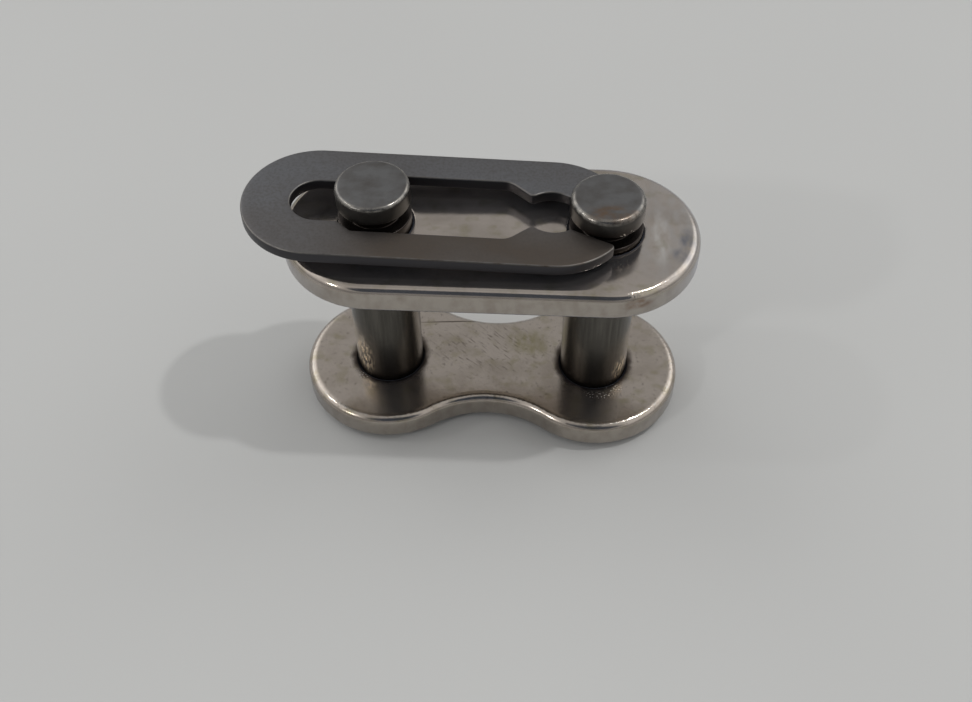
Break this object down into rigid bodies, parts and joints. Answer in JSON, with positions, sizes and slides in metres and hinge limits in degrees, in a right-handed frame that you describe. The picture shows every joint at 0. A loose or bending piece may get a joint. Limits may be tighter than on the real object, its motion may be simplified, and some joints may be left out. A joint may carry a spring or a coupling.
{
  "type": "roller chain connecting link",
  "caption": "Spring-clip connecting link for roller chain: a waisted plate with riveted pins, a straight cover plate and a slotted spring clip drawn back from its seat.",
  "frame": {"origin": "on the inner face of the riveted plate, midway between the two pins", "axes": "+X along the chain, from the clip's closed end to its open end; +Y across the chain; +Z along the pins, from the riveted plate to the clip"},
  "size_m": [0.0315, 0.0132, 0.0203],
  "materials": {
    "nickel_plate": "bright nickel plating over stamped steel, with fine scuffs and faint yellow-brown stains",
    "dark_pin_steel": "dark hardened steel, ground round, with bright scores near the plates",
    "spring_steel": "satin dark grey tempered spring steel with tumbled edges"
  },
  "bodies": {
    "link": {"pin_link_plate": "nickel_plate", "left_pin": "dark_pin_steel", "right_pin": "dark_pin_steel", "cover_plate": "nickel_plate"},
    "clip": {"spring_clip": "spring_steel"}
  },
  "joints": [
    {"name": "clip_slide", "type": "slide", "parent": "link", "child": "clip", "axis": [0.9996, 0, -0.0283], "range_m": [-0.0034, 0.00369], "deforming": ["spring_clip"]}
  ]
}
